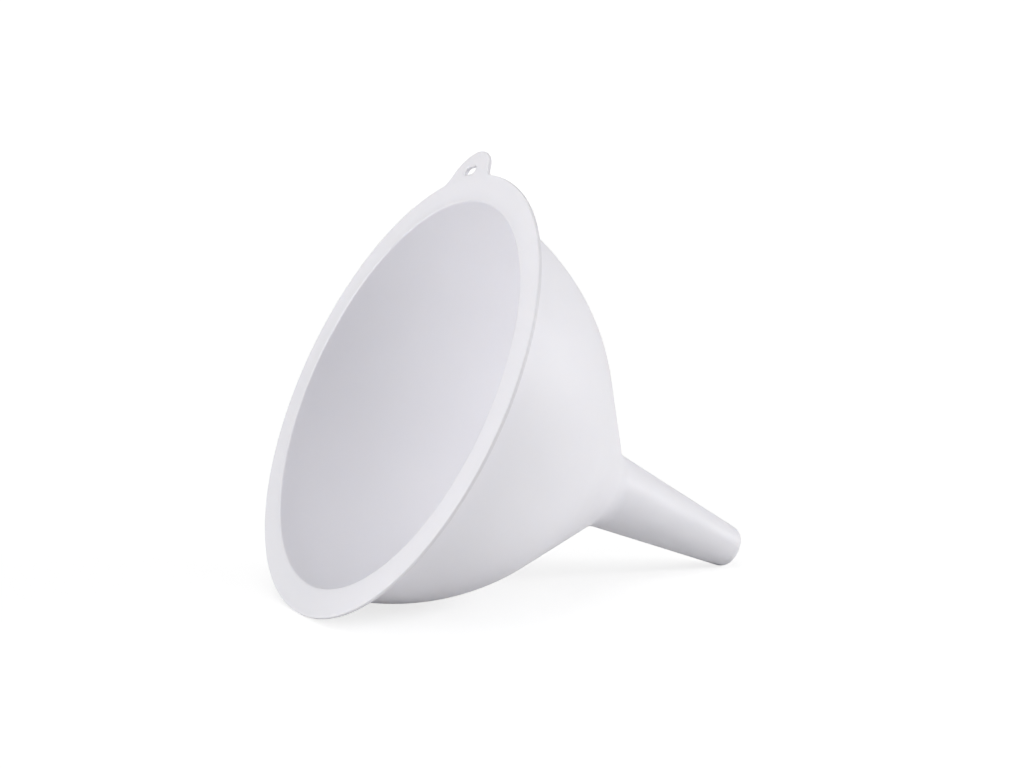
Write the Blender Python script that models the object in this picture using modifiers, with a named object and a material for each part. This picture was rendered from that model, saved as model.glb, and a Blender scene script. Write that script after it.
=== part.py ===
"""A white plastic funnel, lying on its side as it does on a bench.

The real funnel is one moulding: a bowl that runs smoothly into a tapered stem, a flat flange
round the mouth, and a hang tab with a slot. It is modelled upright in its own frame, mouth up,
with the flange's front face at height 0 and depths measured down from it. It then leans over
until the flange's edge and the end of the stem both touch the floor at Z = 0.
"""

import math

import bmesh
import bpy
from mathutils import Matrix, Vector

# Driving dimensions, in metres and degrees. Wall angles are to the funnel's axis.
LENGTH = 0.190
WALL = 0.0018
RIM_RADIUS = 0.100
RIM_THICKNESS = 0.0018
RIM_EDGE_ROUND = 0.0005
BOWL_MOUTH_RADIUS = 0.0892   # outside of the bowl, where it meets the back of the flange
MOUTH_ROUND = 0.0009         # the mouth's inner edge
FLANGE_FILLET = 0.0015       # between the bowl and the back of the flange
BOWL_ARC_RADIUS = 0.111
BOWL_MOUTH_ANGLE = 4.0
BOWL_CONE_ANGLE = 45.0
THROAT_RADIUS = 0.016        # the blend from the cone into the stem
STEM_ANGLE = 6.0
STEM_END_RADIUS = 0.0095     # where the taper would end without the rounded lip
STEM_LIP_LENGTH = 0.0035
STEM_LIP_DEPTH = 0.0016

TAB_DIRECTION = 8.6          # round the rim, from +X towards +Y
TAB_HEAD_RADIUS = 0.0164
TAB_HEAD_CENTRE = 0.0965     # from the funnel's axis
TAB_ROOT_ROUND = 0.008
TAB_OVERLAP = 0.004          # how far the tab's blank reaches into the flange
TAB_LEAN = 6.0               # the tab leans back from the flange's plane
TAB_HINGE = 0.098            # where the lean starts, from the funnel's axis
SLOT_LENGTH = 0.0088
SLOT_WIDTH = 0.0040
SLOT_CENTRE = 0.1032         # from the funnel's axis

STEPS_ROUND = 72
BOWL_STEPS = 9
THROAT_STEPS = 6
SMALL_STEPS = 3
TAB_HEAD_STEPS = 14
TAB_ROOT_STEPS = 4
SLOT_END_STEPS = 6

SHARP_ANGLE = math.radians(35)
NATURAL_PLASTIC = (0.84, 0.84, 0.87, 1.0)
PLASTIC_ROUGHNESS = 0.42


def clear_scene():
    for obj in list(bpy.data.objects):
        bpy.data.objects.remove(obj, do_unlink=True)


def add_collection(name):
    collection = bpy.data.collections.new(name)
    bpy.context.scene.collection.children.link(collection)
    return collection


def plastic_material():
    material = bpy.data.materials.new("natural_plastic")
    material.use_nodes = True
    shader = material.node_tree.nodes["Principled BSDF"]
    shader.inputs["Base Color"].default_value = NATURAL_PLASTIC
    shader.inputs["Roughness"].default_value = PLASTIC_ROUGHNESS
    shader.inputs["Metallic"].default_value = 0.0
    return material


def arc(centre, radius, start, end, steps):
    """Points (depth, radius) round a centre; the angle is from straight out to straight down."""
    points = []
    for step in range(steps + 1):
        angle = start + (end - start) * step / steps
        points.append((centre[0] + radius * math.sin(angle), centre[1] + radius * math.cos(angle)))
    return points


def bowl_centre():
    """Centre of the arc that the bowl's wall follows below the flange."""
    angle = math.radians(BOWL_MOUTH_ANGLE)
    depth = RIM_THICKNESS - BOWL_ARC_RADIUS * math.sin(angle)
    return depth, BOWL_MOUTH_RADIUS - BOWL_ARC_RADIUS * math.cos(angle)


def stem_radius(depth):
    """Outer radius of the stem's straight taper."""
    return STEM_END_RADIUS + (LENGTH - depth) * math.tan(math.radians(STEM_ANGLE))


def throat_centre():
    """Centre of the arc outside the throat, which touches the cone and the stem's taper."""
    cone = math.radians(BOWL_CONE_ANGLE)
    stem = math.radians(STEM_ANGLE)
    cone_depth, cone_radius = arc(bowl_centre(), BOWL_ARC_RADIUS, cone, cone, 1)[0]
    # Both walls are moved out by the arc's radius, and the centre is where they cross.
    cone_line = cone_radius + cone_depth * math.tan(cone) + THROAT_RADIUS / math.cos(cone)
    stem_line = stem_radius(0.0) + THROAT_RADIUS / math.cos(stem)
    depth = (cone_line - stem_line) / (math.tan(cone) - math.tan(stem))
    return depth, cone_line - depth * math.tan(cone)


def corner_centre(depth, distance):
    """A centre at one depth and at one distance from the centre of the bowl's arc."""
    bowl_depth, bowl_radius = bowl_centre()
    across = math.sqrt(distance ** 2 - (depth - bowl_depth) ** 2)
    return (depth, bowl_radius + across), math.asin((depth - bowl_depth) / distance)


def flange_edge():
    """The flange's edge, from the front face round to its back."""
    inset = RIM_RADIUS - RIM_EDGE_ROUND
    front = arc((RIM_EDGE_ROUND, inset), RIM_EDGE_ROUND, -math.pi / 2, 0.0, SMALL_STEPS)
    back = arc((RIM_THICKNESS - RIM_EDGE_ROUND, inset), RIM_EDGE_ROUND, 0.0, math.pi / 2, SMALL_STEPS)
    return front + back


def outer_wall():
    """The outside, from the back of the flange down to the stem's lip."""
    cone = math.radians(BOWL_CONE_ANGLE)
    stem = math.radians(STEM_ANGLE)
    fillet_depth = RIM_THICKNESS + FLANGE_FILLET
    fillet, contact = corner_centre(fillet_depth, BOWL_ARC_RADIUS + FLANGE_FILLET)
    points = arc(fillet, -FLANGE_FILLET, math.pi / 2, contact, SMALL_STEPS)
    points += arc(bowl_centre(), BOWL_ARC_RADIUS, contact, cone, BOWL_STEPS)[1:]
    points += arc(throat_centre(), -THROAT_RADIUS, cone, stem, THROAT_STEPS)
    return points


def stem_lip():
    """The rounded end of the stem: a quarter of an ellipse."""
    start = LENGTH - STEM_LIP_LENGTH
    points = []
    for step in range(SMALL_STEPS + 1):
        angle = 0.5 * math.pi * step / SMALL_STEPS
        drop = STEM_LIP_DEPTH * (1.0 - math.cos(angle))
        points.append((start + STEM_LIP_LENGTH * math.sin(angle), stem_radius(start) - drop))
    return points


def inner_wall():
    """The inside, from the stem's end up to the mouth's rounded edge."""
    cone = math.radians(BOWL_CONE_ANGLE)
    stem = math.radians(STEM_ANGLE)
    mouth, contact = corner_centre(MOUTH_ROUND, BOWL_ARC_RADIUS - WALL + MOUTH_ROUND)
    points = [(LENGTH, stem_radius(LENGTH) - WALL / math.cos(stem))]
    points += arc(throat_centre(), -THROAT_RADIUS - WALL, stem, cone, THROAT_STEPS)
    points += arc(bowl_centre(), BOWL_ARC_RADIUS - WALL, cone, contact, BOWL_STEPS)
    points += arc(mouth, -MOUTH_ROUND, contact, math.pi / 2, SMALL_STEPS)[1:]
    return points


def add_turned_body(collection):
    """The bowl, stem and flange: one closed profile turned round Z.

    The profile stands half a step round from +X, so that a flat of the rim is underneath.
    """
    half_step = math.pi / STEPS_ROUND
    mesh = bpy.data.meshes.new("funnel_body")
    body = bmesh.new()
    verts = []
    for depth, radius in flange_edge() + outer_wall() + stem_lip() + inner_wall():
        place = (radius * math.cos(half_step), radius * math.sin(half_step), -depth)
        verts.append(body.verts.new(place))
    for start, end in zip(verts, verts[1:] + verts[:1]):
        body.edges.new((start, end))
    body.to_mesh(mesh)
    body.free()
    obj = bpy.data.objects.new("funnel_body", mesh)
    collection.objects.link(obj)
    screw = obj.modifiers.new("turn", "SCREW")
    screw.axis = "Z"
    screw.steps = STEPS_ROUND
    screw.render_steps = STEPS_ROUND
    screw.use_merge_vertices = True
    screw.merge_threshold = 0.00001
    return obj


def circle_points(centre, radius, start, end, steps):
    points = []
    for step in range(steps + 1):
        angle = start + (end - start) * step / steps
        points.append((centre[0] + radius * math.cos(angle), centre[1] + radius * math.sin(angle)))
    return points


def tab_outline():
    """The tab's outline, pointing along +X: a round head with a blend each side into the rim."""
    reach = RIM_RADIUS + TAB_ROOT_ROUND
    head_reach = TAB_HEAD_RADIUS + TAB_ROOT_ROUND
    across = (reach ** 2 + TAB_HEAD_CENTRE ** 2 - head_reach ** 2) / (2 * reach * TAB_HEAD_CENTRE)
    root = math.acos(across)
    blend = (reach * math.cos(root), reach * math.sin(root))
    head = math.atan2(blend[1], blend[0] - TAB_HEAD_CENTRE)
    inside = RIM_RADIUS - TAB_OVERLAP
    left = [(inside * math.cos(root), inside * math.sin(root))]
    left += circle_points(blend, -TAB_ROOT_ROUND, root, head, TAB_ROOT_STEPS)
    right = [(x, -y) for x, y in reversed(left)]
    top = circle_points((TAB_HEAD_CENTRE, 0.0), TAB_HEAD_RADIUS, head, -head, TAB_HEAD_STEPS)
    return left + top[1:-1] + right


def slot_outline():
    """The slot lies across the tab, with round ends."""
    half = 0.5 * (SLOT_LENGTH - SLOT_WIDTH)
    end = 0.5 * SLOT_WIDTH
    left = circle_points((SLOT_CENTRE, half), end, 0.0, math.pi, SLOT_END_STEPS)
    right = circle_points((SLOT_CENTRE, -half), end, math.pi, 2 * math.pi, SLOT_END_STEPS)
    return left + right


def add_plate(name, outline, middle, thickness, collection):
    """A flat plate with the given outline, turned to the tab's direction, as a mesh."""
    curve = bpy.data.curves.new(name + "_outline", "CURVE")
    curve.dimensions = "2D"
    curve.fill_mode = "BOTH"
    curve.extrude = thickness / 2
    spline = curve.splines.new("POLY")
    spline.points.add(len(outline) - 1)
    for point, (x, y) in zip(spline.points, outline):
        point.co = (x, y, 0.0, 1.0)
    spline.use_cyclic_u = True
    guide = bpy.data.objects.new(name + "_outline", curve)
    collection.objects.link(guide)
    mesh = bpy.data.meshes.new_from_object(guide.evaluated_get(bpy.context.evaluated_depsgraph_get()))
    bpy.data.objects.remove(guide)
    plate = bmesh.new()
    plate.from_mesh(mesh)
    bmesh.ops.remove_doubles(plate, verts=plate.verts, dist=0.00001)
    bmesh.ops.recalc_face_normals(plate, faces=plate.faces)
    plate.to_mesh(mesh)
    plate.free()
    obj = bpy.data.objects.new(name, mesh)
    obj.rotation_euler.z = math.radians(TAB_DIRECTION)
    obj.location.z = middle
    obj.hide_render = True
    obj.display_type = "WIRE"
    collection.objects.link(obj)
    return obj


def add_boolean(obj, operation, other):
    boolean = obj.modifiers.new(other.name, "BOOLEAN")
    boolean.operation = operation
    boolean.solver = "EXACT"
    boolean.object = other


def freeze(obj):
    """Replaces the object's mesh by what its modifiers make."""
    mesh = bpy.data.meshes.new_from_object(obj.evaluated_get(bpy.context.evaluated_depsgraph_get()))
    obj.modifiers.clear()
    obj.data = mesh


def lean_tab(obj):
    """Splits the mesh across the tab's root, and leans what is beyond it back a little."""
    outward = Matrix.Rotation(math.radians(TAB_DIRECTION), 3, "Z") @ Vector((1.0, 0.0, 0.0))
    slope = math.tan(math.radians(TAB_LEAN))
    mesh = bmesh.new()
    mesh.from_mesh(obj.data)
    parts = mesh.verts[:] + mesh.edges[:] + mesh.faces[:]
    bmesh.ops.bisect_plane(mesh, geom=parts, dist=0.00001, plane_co=outward * TAB_HINGE, plane_no=outward)
    bmesh.ops.triangulate(mesh, faces=mesh.faces)
    for vert in mesh.verts:
        beyond = vert.co.dot(outward) - TAB_HINGE
        vert.co.z -= slope * max(beyond, 0.0)
    mesh.to_mesh(obj.data)
    mesh.free()


def rest_angle():
    """How far the axis dips towards the stem when the rim's back edge and the lip touch down."""
    flat = math.cos(math.pi / STEPS_ROUND)
    rim_depth = RIM_THICKNESS - RIM_EDGE_ROUND
    angles = []
    for depth, radius in stem_lip():
        angles.append(math.atan2(flat * (RIM_RADIUS - radius), depth - rim_depth))
    return min(angles)


def lay_down(obj):
    """Turns the mouth towards -X, and sets the body on the floor with X and Y centred."""
    obj.rotation_euler.y = rest_angle() - math.pi / 2
    bpy.context.view_layer.update()
    corners = [obj.matrix_world @ vert.co for vert in obj.data.vertices]
    low = Vector([min(corner[axis] for corner in corners) for axis in range(3)])
    high = Vector([max(corner[axis] for corner in corners) for axis in range(3)])
    obj.location = (-(low.x + high.x) / 2, -(low.y + high.y) / 2, -low.z)


def build():
    clear_scene()
    parts = add_collection("funnel")
    cutters = add_collection("cutters")
    body = add_turned_body(parts)
    middle = -RIM_THICKNESS / 2
    add_boolean(body, "UNION", add_plate("tab_blank", tab_outline(), middle, RIM_THICKNESS, cutters))
    add_boolean(body, "DIFFERENCE", add_plate("slot_cutter", slot_outline(), middle, 3 * RIM_THICKNESS, cutters))
    freeze(body)
    lean_tab(body)
    body.data.materials.clear()
    body.data.materials.append(plastic_material())
    body.data.shade_smooth()
    body.data.set_sharp_from_angle(angle=SHARP_ANGLE)
    lay_down(body)


build()
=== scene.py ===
"""The looks of a white plastic funnel lying on its side: its fine surface, its plastic, and the studio.

The moulding is built upright in its own frame, as the CAD is: mouth up, with the flange's front
face at height 0 and depths measured down from it. It is then laid down where the CAD body lies.
"""

import math

import bmesh
import bpy
from mathutils import Euler, Matrix, Vector


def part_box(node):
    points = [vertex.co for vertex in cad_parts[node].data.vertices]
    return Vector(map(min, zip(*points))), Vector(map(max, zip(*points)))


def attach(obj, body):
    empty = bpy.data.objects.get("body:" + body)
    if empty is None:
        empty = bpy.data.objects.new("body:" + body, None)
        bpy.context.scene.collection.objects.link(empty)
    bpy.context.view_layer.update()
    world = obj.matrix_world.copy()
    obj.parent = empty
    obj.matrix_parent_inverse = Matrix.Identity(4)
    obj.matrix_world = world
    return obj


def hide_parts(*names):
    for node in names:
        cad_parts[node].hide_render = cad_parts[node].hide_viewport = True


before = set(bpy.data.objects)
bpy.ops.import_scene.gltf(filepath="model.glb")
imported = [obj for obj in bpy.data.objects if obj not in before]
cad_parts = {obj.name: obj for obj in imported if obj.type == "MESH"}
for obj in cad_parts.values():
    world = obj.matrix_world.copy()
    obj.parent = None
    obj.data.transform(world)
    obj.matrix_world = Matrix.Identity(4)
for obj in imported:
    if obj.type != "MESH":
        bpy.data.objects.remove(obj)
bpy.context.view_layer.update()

# The moulding's dimensions, in metres and degrees, as the CAD has them.
LENGTH = 0.190
WALL = 0.0018
RIM_RADIUS = 0.100
RIM_THICKNESS = 0.0018
RIM_EDGE_ROUND = 0.0005
BOWL_MOUTH_RADIUS = 0.0892
MOUTH_ROUND = 0.0009
FLANGE_FILLET = 0.0015
BOWL_ARC_RADIUS = 0.111
BOWL_MOUTH_ANGLE = 4.0
BOWL_CONE_ANGLE = 45.0
THROAT_RADIUS = 0.016
STEM_ANGLE = 6.0
STEM_END_RADIUS = 0.0095
STEM_LIP_LENGTH = 0.0035
STEM_LIP_DEPTH = 0.0016
TAB_DIRECTION = 8.6
TAB_HEAD_RADIUS = 0.0164
TAB_HEAD_CENTRE = 0.0965
TAB_ROOT_ROUND = 0.008
TAB_LEAN = 6.0
TAB_HINGE = 0.098
SLOT_LENGTH = 0.0088
SLOT_WIDTH = 0.0040
SLOT_CENTRE = 0.1032

# Detail that only the fine surface has.
LIP_STEP = 0.00012           # a line round the stem where the lip starts
STEM_END_ROUND = 0.00025     # inside edge of the stem's end
SLOT_EDGE_ROUND = 0.0004
HINGE_ROUND = 0.0014         # the tab bends over this far on each side of its hinge
PARTING_HEIGHT = 0.00005     # the mould's parting line, round the flange's edge
PARTING_WIDTH = 0.00018

# The plastic: milky polyethylene. Lengths in metres, and noise scales in features per metre.
PLASTIC_COLOUR = (0.825, 0.819, 0.857, 1.0)
PLASTIC_COLOUR_CLOUDED = (0.803, 0.797, 0.834, 1.0)
PAINTED_EDGE_SHADE_COLOUR = (0.66, 0.655, 0.69, 1.0)       # painted shade: the flange's outer edge face is coloured darker, most where it faces sideways
PLASTIC_ROUGHNESS = (0.44, 0.54)
WORN_ROUGHNESS = 0.3
PLASTIC_IOR = 1.53
MILKINESS = 0.6
LIGHT_REACH = 0.0028         # how far light spreads inside the wall
LIGHT_REACH_SHARES = (1.0, 0.95, 0.9)        # of that reach, in red, green and blue
CLOUD_SCALE = 34.0
CLOUD_DETAIL = 4.0
CLOUD_RANGE = (0.35, 0.65)   # the clouding between which the gloss goes from one end to the other
WAVE_SCALE = 48.0
WAVE_HEIGHT = 0.00006
GRAIN_SCALE = 900.0
GRAIN_HEIGHT = 0.000009
RING_SCALE = 750.0
RING_HEIGHT = 0.000004

# The studio. Each softbox: azimuth (0 towards -Y, 90 towards +X), elevation, side in metres, watts.
SOFTBOXES = {
    "left_softbox": (270.0, 10.0, 1.4, 26.6),
    "right_softbox": (51.0, 24.0, 0.65, 16.3),
    "low_right_softbox": (69.0, 8.0, 0.65, 8.4),
    "overhead_softbox": (0.0, 90.0, 1.4, 9.0),
    "high_left_softbox": (300.0, 60.0, 1.4, 7.6),
}
SOFTBOX_DISTANCE = 2.2
ROOM_LIGHT = 0.262
ROOM_SEEN = 1.1              # how bright the room looks behind the object
FLOOR_SIZE = 16.0
FLOOR_WHITE = (0.9, 0.9, 0.9, 1.0)
FLOOR_ROUGHNESS = 0.8
FLOOR_SPECULAR = 0.2
GLOW_SHARE = 0.62            # how much of the seen floor is its own even white, which lightens shadows
GLOW_NEAR = 1.24
GLOW_FAR = 1.5
GLOW_RADII = (0.4, 2.5)      # the floor's white rises between these distances, as the softboxes fade

RIM_STEPS = 300
TAB_HEAD_STEPS = 48
TAB_ROOT_STEPS = 14
FLANGE_STEPS = 20
BOWL_STEPS = 44
THROAT_STEPS = 18
STEM_STEPS = 14
ROUND_STEPS = 6
SLOT_END_STEPS = 20

# The camera, in metres and degrees.
LOOK_AT = Vector((-0.0211, -0.0234, 0.0934))
VIEW_AZIMUTH = -28.04
VIEW_ELEVATION = 6.38
VIEW_DISTANCE = 0.8
LENS = 67.17
SENSOR_WIDTH = 36.0


def arc(centre, radius, start, end, steps):
    """Points (depth, radius) round a centre; the angle is from straight out to straight down."""
    points = []
    for step in range(steps + 1):
        angle = start + (end - start) * step / steps
        points.append((centre[0] + radius * math.sin(angle), centre[1] + radius * math.cos(angle)))
    return points


def circle_points(centre, radius, start, end, steps):
    points = []
    for step in range(steps + 1):
        angle = start + (end - start) * step / steps
        points.append((centre[0] + radius * math.cos(angle), centre[1] + radius * math.sin(angle)))
    return points


def bowl_centre():
    """Centre of the arc that the bowl's wall follows below the flange."""
    angle = math.radians(BOWL_MOUTH_ANGLE)
    depth = RIM_THICKNESS - BOWL_ARC_RADIUS * math.sin(angle)
    return depth, BOWL_MOUTH_RADIUS - BOWL_ARC_RADIUS * math.cos(angle)


def stem_radius(depth):
    """Outer radius of the stem's straight taper."""
    return STEM_END_RADIUS + (LENGTH - depth) * math.tan(math.radians(STEM_ANGLE))


def throat_centre():
    """Centre of the arc outside the throat, which touches the cone and the stem's taper."""
    cone = math.radians(BOWL_CONE_ANGLE)
    stem = math.radians(STEM_ANGLE)
    cone_depth, cone_radius = arc(bowl_centre(), BOWL_ARC_RADIUS, cone, cone, 1)[0]
    cone_line = cone_radius + cone_depth * math.tan(cone) + THROAT_RADIUS / math.cos(cone)
    stem_line = stem_radius(0.0) + THROAT_RADIUS / math.cos(stem)
    depth = (cone_line - stem_line) / (math.tan(cone) - math.tan(stem))
    return depth, cone_line - depth * math.tan(cone)


def corner_centre(depth, distance):
    """A centre at one depth and at one distance from the centre of the bowl's arc."""
    bowl_depth, bowl_radius = bowl_centre()
    across = math.sqrt(distance ** 2 - (depth - bowl_depth) ** 2)
    return (depth, bowl_radius + across), math.asin((depth - bowl_depth) / distance)


def straight(start, end, steps):
    """Points between two points, without the points themselves."""
    points = []
    for step in range(1, steps):
        share = step / steps
        points.append(tuple(a + (b - a) * share for a, b in zip(start, end)))
    return points


def outer_wall():
    """The outside, from the back of the flange down to the end of the stem."""
    cone = math.radians(BOWL_CONE_ANGLE)
    stem = math.radians(STEM_ANGLE)
    fillet, contact = corner_centre(RIM_THICKNESS + FLANGE_FILLET, BOWL_ARC_RADIUS + FLANGE_FILLET)
    points = arc(fillet, -FLANGE_FILLET, math.pi / 2, contact, ROUND_STEPS)
    points += arc(bowl_centre(), BOWL_ARC_RADIUS, contact, cone, BOWL_STEPS)[1:]
    points += arc(throat_centre(), -THROAT_RADIUS, cone, stem, THROAT_STEPS)
    lip_start = LENGTH - STEM_LIP_LENGTH
    shoulder = (lip_start - LIP_STEP, stem_radius(lip_start - LIP_STEP))
    points += straight(points[-1], shoulder, STEM_STEPS) + [shoulder]
    for step in range(2 * ROUND_STEPS + 1):
        angle = 0.5 * math.pi * step / (2 * ROUND_STEPS)
        drop = LIP_STEP * math.cos(angle) + STEM_LIP_DEPTH * (1.0 - math.cos(angle))
        points.append((lip_start + STEM_LIP_LENGTH * math.sin(angle), stem_radius(lip_start) - drop))
    return points


def inner_wall():
    """The inside, from the stem's end up to the mouth's rounded edge."""
    cone = math.radians(BOWL_CONE_ANGLE)
    stem = math.radians(STEM_ANGLE)
    end = (LENGTH - STEM_END_ROUND, stem_radius(LENGTH - STEM_END_ROUND) - WALL / math.cos(stem))
    points = arc((end[0], end[1] + STEM_END_ROUND), STEM_END_ROUND, math.pi / 2, math.pi, ROUND_STEPS)
    throat = arc(throat_centre(), -THROAT_RADIUS - WALL, stem, cone, THROAT_STEPS)
    points += straight(points[-1], throat[0], STEM_STEPS) + throat
    mouth, contact = corner_centre(MOUTH_ROUND, BOWL_ARC_RADIUS - WALL + MOUTH_ROUND)
    points += arc(bowl_centre(), BOWL_ARC_RADIUS - WALL, cone, contact, BOWL_STEPS)
    points += arc(mouth, -MOUTH_ROUND, contact, math.pi / 2, ROUND_STEPS)[1:]
    return points


def rim_outline(inset):
    """The flange's outline with its tab towards +X, moved in by the inset.

    Every inset gives the same number of points, at the same places round the rim.
    """
    reach = RIM_RADIUS + TAB_ROOT_ROUND
    head_reach = TAB_HEAD_RADIUS + TAB_ROOT_ROUND
    across = (reach ** 2 + TAB_HEAD_CENTRE ** 2 - head_reach ** 2) / (2 * reach * TAB_HEAD_CENTRE)
    root = math.acos(across)
    blend = (reach * math.cos(root), reach * math.sin(root))
    head = math.atan2(blend[1], blend[0] - TAB_HEAD_CENTRE)
    top = circle_points((TAB_HEAD_CENTRE, 0.0), TAB_HEAD_RADIUS - inset, -head, head, TAB_HEAD_STEPS)
    left = circle_points(blend, -TAB_ROOT_ROUND - inset, head, root, TAB_ROOT_STEPS)
    rim = circle_points((0.0, 0.0), RIM_RADIUS - inset, root, 2 * math.pi - root, RIM_STEPS)
    right = [(x, -y) for x, y in reversed(left)]
    return top + left[1:] + rim[1:-1] + right[:-1]


def outline_ring(inset, depth):
    return [Vector((x, y, -depth)) for x, y in rim_outline(inset)]


def turned_ring(depth, radius):
    """A ring round the axis, with a point on each spoke of the rim's outline."""
    ring = []
    for x, y in rim_outline(0.0):
        angle = math.atan2(y, x)
        ring.append(Vector((radius * math.cos(angle), radius * math.sin(angle), -depth)))
    return ring


def flange_edge():
    """Rings round the flange's and the tab's rounded edge, from the front to the back."""
    front = []
    back = []
    for step in range(ROUND_STEPS + 1):
        angle = 0.5 * math.pi * step / ROUND_STEPS
        inset = RIM_EDGE_ROUND * (1.0 - math.sin(angle))
        front.append(outline_ring(inset, RIM_EDGE_ROUND * (1.0 - math.cos(angle))))
        back.append(outline_ring(inset, RIM_THICKNESS - RIM_EDGE_ROUND * (1.0 - math.cos(angle))))
    middle = 0.5 * RIM_THICKNESS
    parting = [outline_ring(0.0, middle - 0.5 * PARTING_WIDTH)]
    parting.append(outline_ring(-PARTING_HEIGHT, middle))
    parting.append(outline_ring(0.0, middle + 0.5 * PARTING_WIDTH))
    return front + parting + list(reversed(back))


def rings_between(first, last):
    rings = []
    for step in range(1, FLANGE_STEPS):
        share = step / FLANGE_STEPS
        rings.append([a.lerp(b, share) for a, b in zip(first, last)])
    return rings


def lean_back(point):
    """Leans the tab back beyond its hinge, with a soft bend there."""
    beyond = point.x - TAB_HINGE
    if beyond > HINGE_ROUND:
        reach = beyond
    elif beyond > -HINGE_ROUND:
        reach = (beyond + HINGE_ROUND) ** 2 / (4 * HINGE_ROUND)
    else:
        reach = 0.0
    point.z -= reach * math.tan(math.radians(TAB_LEAN))


def closed_mesh(name, rings, loop):
    """A mesh through the rings: joined end to end, or capped at both ends."""
    body = bmesh.new()
    rows = [[body.verts.new(point) for point in ring] for ring in rings]
    pairs = list(zip(rows, rows[1:]))
    if loop:
        pairs.append((rows[-1], rows[0]))
    else:
        body.faces.new(reversed(rows[0]))
        body.faces.new(rows[-1])
    for upper, lower in pairs:
        for k in range(len(upper)):
            n = (k + 1) % len(upper)
            body.faces.new((upper[k], upper[n], lower[n], lower[k]))
    bmesh.ops.recalc_face_normals(body, faces=body.faces)
    mesh = bpy.data.meshes.new(name)
    body.to_mesh(mesh)
    body.free()
    obj = bpy.data.objects.new(name, mesh)
    bpy.context.scene.collection.objects.link(obj)
    return obj


def slot_ring(depth, growth):
    """The slot's outline, grown all round: it lies across the tab, with round ends."""
    half = 0.5 * (SLOT_LENGTH - SLOT_WIDTH)
    end = 0.5 * SLOT_WIDTH + growth
    left = circle_points((SLOT_CENTRE, half), end, 0.0, math.pi, SLOT_END_STEPS)
    right = circle_points((SLOT_CENTRE, -half), end, math.pi, 2 * math.pi, SLOT_END_STEPS)
    return [Vector((x, y, -depth)) for x, y in left + right]


def slot_cutter():
    """A spool as thick as the tab: its flared ends leave rounded edges round the slot."""
    rings = [slot_ring(-RIM_THICKNESS, SLOT_EDGE_ROUND)]
    for start, sign in ((0.0, 1.0), (RIM_THICKNESS, -1.0)):
        side = []
        for step in range(1, ROUND_STEPS + 1):
            angle = 0.5 * math.pi * step / ROUND_STEPS
            depth = start + sign * SLOT_EDGE_ROUND * (1.0 - math.cos(angle))
            side.append(slot_ring(depth, SLOT_EDGE_ROUND * (1.0 - math.sin(angle))))
        rings += side if sign > 0 else list(reversed(side))
    rings.append(slot_ring(2 * RIM_THICKNESS, SLOT_EDGE_ROUND))
    return closed_mesh("slot_cutter", rings, loop=False)


def cut(obj, cutter):
    """Cuts the cutter out of the object's mesh, and removes it."""
    boolean = obj.modifiers.new("cut", "BOOLEAN")
    boolean.operation = "DIFFERENCE"
    boolean.solver = "EXACT"
    boolean.object = cutter
    evaluated = obj.evaluated_get(bpy.context.evaluated_depsgraph_get())
    mesh = bpy.data.meshes.new_from_object(evaluated)
    obj.modifiers.clear()
    obj.data = mesh
    bpy.data.objects.remove(cutter)


def moulding():
    """The whole funnel as one fine closed surface, upright, with its tab in its direction."""
    front = turned_ring(*inner_wall()[-1])
    back = turned_ring(*outer_wall()[0])
    edge = flange_edge()
    rings = rings_between(front, edge[0]) + edge + rings_between(edge[-1], back)
    rings += [turned_ring(*point) for point in outer_wall() + inner_wall()]
    obj = closed_mesh("funnel_moulding", rings, loop=True)
    cut(obj, slot_cutter())
    for vert in obj.data.vertices:
        lean_back(vert.co)
    obj.data.transform(Matrix.Rotation(math.radians(TAB_DIRECTION), 4, "Z"))
    obj.data.shade_smooth()
    normals = obj.modifiers.new("normals", "WEIGHTED_NORMAL")
    normals.keep_sharp = True
    return obj


def add_values(mesh, name, kind, field, values):
    """Adds a point attribute and fills it at once, as adding a further one would move its storage."""
    added = mesh.attributes.new(name, kind, "POINT")
    added.data.foreach_set(field, values)


def mark_surface(obj):
    """Attributes for the material: the place on the upright moulding, the mask of painted shade on the
    flange's outer edge, and the worn mouth edge.
    """
    mouth_radius = BOWL_MOUTH_RADIUS - WALL + MOUTH_ROUND
    places = []
    painted_edge_shade = []
    mouth_edge = []
    for vert in obj.data.vertices:
        radius = math.hypot(vert.co.x, vert.co.y)
        is_outer = radius > RIM_RADIUS - 2 * RIM_EDGE_ROUND
        is_mouth = abs(radius - mouth_radius) < 1.5 * MOUTH_ROUND and vert.co.z > -1.5 * MOUTH_ROUND
        places.extend(vert.co)
        # painted shade on the flange's outer edge face, strongest where the face turns sideways
        painted_edge_shade.append(1.0 - abs(vert.normal.z) if is_outer else 0.0)
        mouth_edge.append(1.0 if is_mouth else 0.0)
    add_values(obj.data, "upright", "FLOAT_VECTOR", "vector", places)
    add_values(obj.data, "painted_edge_shade", "FLOAT", "value", painted_edge_shade)
    add_values(obj.data, "mouth_edge", "FLOAT", "value", mouth_edge)


def rest_angle():
    """How far the axis dips towards the stem when the rim's back edge and the lip touch down."""
    rim_depth = RIM_THICKNESS - RIM_EDGE_ROUND
    lip_start = LENGTH - STEM_LIP_LENGTH
    angles = []
    for depth, radius in outer_wall():
        if depth >= lip_start:
            angles.append(math.atan2(RIM_RADIUS - radius, depth - rim_depth))
    return min(angles)


def lay_down(obj):
    """Turns the mouth towards -X, and sets the moulding where the CAD body lies."""
    mesh = obj.data
    mesh.transform(Matrix.Rotation(rest_angle() - math.pi / 2, 4, "Y"))
    own_low = Vector([min(vert.co[axis] for vert in mesh.vertices) for axis in range(3)])
    own_high = Vector([max(vert.co[axis] for vert in mesh.vertices) for axis in range(3)])
    low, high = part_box("funnel_body")
    shift = (low + high - own_low - own_high) / 2
    shift.z = low.z - own_low.z
    mesh.transform(Matrix.Translation(shift))


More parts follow.
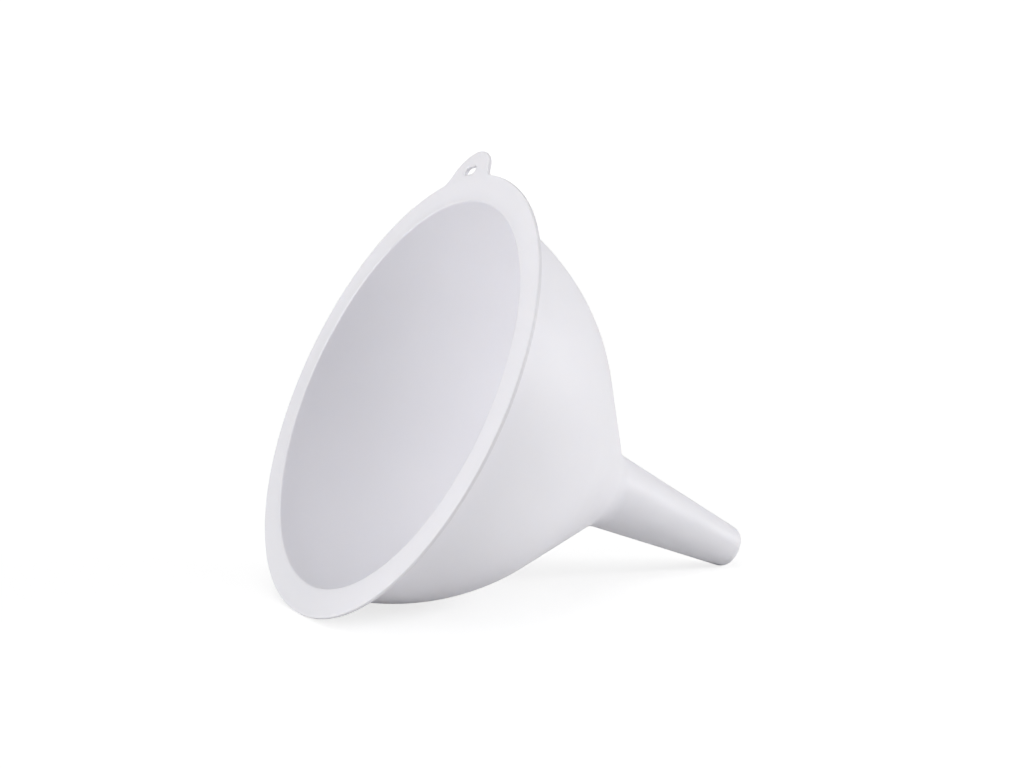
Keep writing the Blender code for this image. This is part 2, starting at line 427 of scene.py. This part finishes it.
def node(tree, kind, inputs, **settings):
    """A new shader node, with its inputs set to values or linked to other nodes' outputs."""
    made = tree.nodes.new("ShaderNode" + kind)
    for name, value in settings.items():
        setattr(made, name, value)
    for name, value in inputs.items():
        if isinstance(value, bpy.types.NodeSocket):
            tree.links.new(value, made.inputs[name])
        else:
            made.inputs[name].default_value = value
    return made


def noise(tree, place, scale, detail):
    return node(tree, "TexNoise", {"Vector": place, "Scale": scale, "Detail": detail}).outputs["Fac"]


def ring_place(tree, place):
    """Distance from the axis and height along it: what depends on these alone runs round the axis."""
    flat = node(tree, "VectorMath", {0: place, 1: (1.0, 1.0, 0.0)}, operation="MULTIPLY")
    radius = node(tree, "VectorMath", {0: flat.outputs["Vector"]}, operation="LENGTH").outputs["Value"]
    height = node(tree, "SeparateXYZ", {"Vector": place}).outputs["Z"]
    return node(tree, "CombineXYZ", {"X": radius, "Y": height}).outputs["Vector"]


def relief(tree, place):
    """The surface's height in metres: slow waves, a fine grain, and the mould's polishing rings."""
    height = 0.0
    for where, scale, detail, depth in (
        (place, WAVE_SCALE, 1.0, WAVE_HEIGHT),
        (place, GRAIN_SCALE, 2.0, GRAIN_HEIGHT),
        (ring_place(tree, place), RING_SCALE, 2.0, RING_HEIGHT),
    ):
        fac = noise(tree, where, scale, detail)
        added = node(tree, "Math", {0: fac, 1: depth, 2: height}, operation="MULTIPLY_ADD")
        height = added.outputs["Value"]
    return height


def attribute(tree, name, output):
    return node(tree, "Attribute", {}, attribute_name=name).outputs[output]


def plastic():
    """Milky, satin polyethylene, a little cloudy in colour and gloss, smoother where it is worn, and
    with painted shade darkening the flange's outer edge.
    """
    material = bpy.data.materials.new("natural_polyethylene")
    material.use_nodes = True
    tree = material.node_tree
    place = attribute(tree, "upright", "Vector")
    cloud = noise(tree, place, CLOUD_SCALE, CLOUD_DETAIL)
    gloss = node(tree, "MapRange", {"Value": cloud,
                                    "From Min": CLOUD_RANGE[0], "From Max": CLOUD_RANGE[1],
                                    "To Min": PLASTIC_ROUGHNESS[0], "To Max": PLASTIC_ROUGHNESS[1]})
    gloss = node(tree, "MapRange", {"Value": attribute(tree, "mouth_edge", "Fac"),
                                    "To Min": gloss.outputs["Result"], "To Max": WORN_ROUGHNESS})
    colour = node(tree, "MixRGB", {"Fac": cloud,
                                   "Color1": PLASTIC_COLOUR, "Color2": PLASTIC_COLOUR_CLOUDED})
    # painted shade: the flange's outer edge is mixed towards a darker colour
    colour = node(tree, "MixRGB", {"Fac": attribute(tree, "painted_edge_shade", "Fac"),
                                   "Color1": colour.outputs["Color"], "Color2": PAINTED_EDGE_SHADE_COLOUR})
    bump = node(tree, "Bump", {"Strength": 1.0, "Distance": 1.0, "Height": relief(tree, place)})
    shader = tree.nodes["Principled BSDF"]
    tree.links.new(colour.outputs["Color"], shader.inputs["Base Color"])
    tree.links.new(gloss.outputs["Result"], shader.inputs["Roughness"])
    tree.links.new(bump.outputs["Normal"], shader.inputs["Normal"])
    shader.inputs["IOR"].default_value = PLASTIC_IOR
    shader.inputs["Subsurface Weight"].default_value = MILKINESS
    shader.inputs["Subsurface Radius"].default_value = LIGHT_REACH_SHARES
    shader.inputs["Subsurface Scale"].default_value = LIGHT_REACH
    return material


def softbox(name, azimuth, elevation, side, power):
    """A square area light turned towards the object."""
    data = bpy.data.lights.new(name, "AREA")
    data.size = side
    data.energy = power
    obj = bpy.data.objects.new(name, data)
    bearing = math.radians(azimuth)
    height = math.radians(elevation)
    across = math.cos(height)
    away = Vector((math.sin(bearing) * across, -math.cos(bearing) * across, math.sin(height)))
    obj.location = Vector((0.0, 0.0, LOOK_AT.z)) + away * SOFTBOX_DISTANCE
    obj.rotation_euler = away.to_track_quat("Z", "Y").to_euler()
    obj.visible_camera = False
    bpy.context.scene.collection.objects.link(obj)


def floor_white():
    """A matt white floor that glows a little where it is looked at, more so further out."""
    material = bpy.data.materials.new("floor_white")
    material.use_nodes = True
    tree = material.node_tree
    paint = tree.nodes["Principled BSDF"]
    paint.inputs["Base Color"].default_value = FLOOR_WHITE
    paint.inputs["Roughness"].default_value = FLOOR_ROUGHNESS
    paint.inputs["Specular IOR Level"].default_value = FLOOR_SPECULAR
    seen = node(tree, "LightPath", {}).outputs["Is Camera Ray"]
    place = node(tree, "TexCoord", {}).outputs["Object"]
    distance = node(tree, "VectorMath", {0: place}, operation="LENGTH").outputs["Value"]
    glow = node(tree, "MapRange", {"Value": distance,
                                   "From Min": GLOW_RADII[0], "From Max": GLOW_RADII[1],
                                   "To Min": GLOW_NEAR, "To Max": GLOW_FAR})
    white = node(tree, "Emission", {"Strength": glow.outputs["Result"]}).outputs["Emission"]
    share = node(tree, "Math", {0: seen, 1: GLOW_SHARE}, operation="MULTIPLY").outputs["Value"]
    mix = node(tree, "MixShader", {0: share, 1: paint.outputs["BSDF"], 2: white}).outputs["Shader"]
    tree.links.new(mix, tree.nodes["Material Output"].inputs["Surface"])
    return material


def white_room():
    """An even, dim light from all round, which looks white behind the object."""
    world = bpy.data.worlds.new("white_room")
    world.use_nodes = True
    tree = world.node_tree
    seen = node(tree, "LightPath", {}).outputs["Is Camera Ray"]
    strength = node(tree, "MapRange", {"Value": seen, "To Min": ROOM_LIGHT, "To Max": ROOM_SEEN})
    background = tree.nodes["Background"]
    background.inputs["Color"].default_value = (1.0, 1.0, 1.0, 1.0)
    tree.links.new(strength.outputs["Result"], background.inputs["Strength"])
    return world


def studio():
    """A white floor and room, and softboxes round the object."""
    bpy.ops.mesh.primitive_plane_add(size=FLOOR_SIZE)
    floor = bpy.context.object
    floor.name = "floor"
    floor.data.materials.append(floor_white())
    bpy.context.scene.world = white_room()
    for name, (azimuth, elevation, side, power) in SOFTBOXES.items():
        softbox(name, azimuth, elevation, side, power)


def camera():
    data = bpy.data.cameras.new("camera")
    data.lens = LENS
    data.sensor_width = SENSOR_WIDTH
    obj = bpy.data.objects.new("camera", data)
    turn = Euler((math.radians(90.0 - VIEW_ELEVATION), 0.0, math.radians(VIEW_AZIMUTH)))
    obj.rotation_euler = turn
    obj.location = LOOK_AT + turn.to_matrix() @ Vector((0.0, 0.0, VIEW_DISTANCE))
    bpy.context.scene.collection.objects.link(obj)
    bpy.context.scene.camera = obj


camera()
funnel = moulding()
mark_surface(funnel)
lay_down(funnel)
funnel.data.materials.clear()
funnel.data.materials.append(plastic())
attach(funnel, "root")
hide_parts("funnel_body")
studio()
bpy.context.scene.view_settings.view_transform = "Standard"
